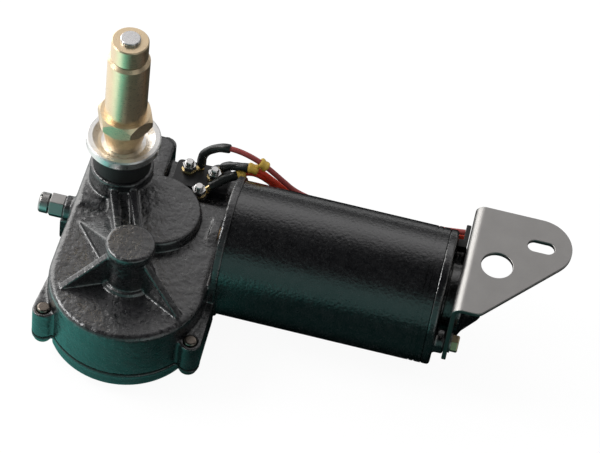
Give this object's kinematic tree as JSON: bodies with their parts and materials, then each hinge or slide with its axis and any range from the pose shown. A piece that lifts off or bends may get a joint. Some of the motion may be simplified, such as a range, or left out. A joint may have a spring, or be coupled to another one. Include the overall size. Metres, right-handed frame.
{
  "type": "wiper motor",
  "caption": "Electric wiper motor: worm gearbox with a crank and lever, threaded output sleeve, round motor can and an angle mounting bracket.",
  "frame": {"origin": "on the output shaft axis, in the plane of the mounting panel that the washer and the rubber spacer clamp", "axes": "+Z out along the output shaft, +X along the motor from the gearbox towards the mounting bracket"},
  "size_m": [0.2319, 0.1258, 0.1281],
  "materials": {
    "black_paint": "textured semi-gloss",
    "zinc": "zinc plated",
    "steel": "machined",
    "dark_steel": "oiled",
    "brass": "bright",
    "bronze": "sintered",
    "copper": "enamelled wire",
    "ferrite": "ground",
    "rubber": "matt",
    "black_plastic": "matt",
    "gear_plastic": "moulded",
    "brown_board": "laminated",
    "carbon": "pressed",
    "red_lead": "satin",
    "yellow_band": "satin"
  },
  "bodies": {
    "case": {"gear_housing": "black_paint", "cover_gasket": "rubber", "gear_cover": "black_paint", "cover_screws": "zinc", "shaft_pipe": "steel", "lower_bush": "bronze", "upper_bush": "bronze", "shaft_seal": "rubber", "rubber_spacer": "rubber", "cup_washer": "zinc", "sleeve_nut": "brass", "wheel_axle": "steel", "axle_clip": "dark_steel", "contact_block": "brown_board", "contact_fingers": "brass", "motor_can": "black_paint", "magnets": "ferrite", "end_cap": "black_paint", "front_bearing": "bronze", "rear_bearing": "bronze", "nose_bush": "bronze", "brush_plate": "brown_board", "brush_holders": "brass", "brushes": "carbon", "brush_springs": "steel", "through_bolts": "zinc", "bolt_washers": "zinc", "thrust_ball": "steel", "thrust_screw": "zinc", "thrust_lock_nut": "zinc", "mounting_bracket": "zinc", "terminal_block": "black_plastic", "terminal_studs": "zinc", "terminal_washers": "brass", "terminal_nuts": "zinc", "lead_1": "red_lead", "lead_2": "red_lead", "lead_3": "red_lead", "lead_sleeves": "black_plastic", "lead_bands": "yellow_band", "ring_terminals": "brass", "lead_boot": "rubber"},
    "armature": {"armature_shaft": "steel", "worm": "steel", "armature_core": "dark_steel", "windings": "copper", "commutator": "copper"},
    "wheel": {"worm_wheel": "gear_plastic", "crank_plate": "zinc", "crank_pin": "steel", "crank_spacer": "bronze", "link_clip": "dark_steel", "park_ring": "brass"},
    "link": {"drive_link": "zinc"},
    "output": {"output_shaft": "steel", "arm_collar": "brass", "output_lever": "zinc", "lever_pin": "steel"}
  },
  "joints": [
    {"name": "armature_spin", "type": "hinge", "parent": "case", "child": "armature", "pos_m": [0, -0.0176, -0.031], "axis": [1, 0, 0], "continuous": true},
    {"name": "wheel_spin", "type": "hinge", "parent": "case", "child": "wheel", "pos_m": [0.0176, -0.0532, -0.031], "axis": [0, 0, 1], "continuous": true},
    {"name": "link_spin", "type": "hinge", "parent": "wheel", "child": "link", "pos_m": [0.01875, -0.06213, -0.0467], "axis": [0, 0, 1], "continuous": true},
    {"name": "output_swing", "type": "hinge", "parent": "case", "child": "output", "pos_m": [0, 0, 0], "axis": [0, 0, 1], "range_deg": [0, 80]}
  ],
  "couplings": [
    {"joint": "wheel_spin", "follows": "armature_spin", "ratio": 0.020833},
    {"joint": "link_spin", "follows": "armature_spin", "ratio": -0.020833}
  ]
}
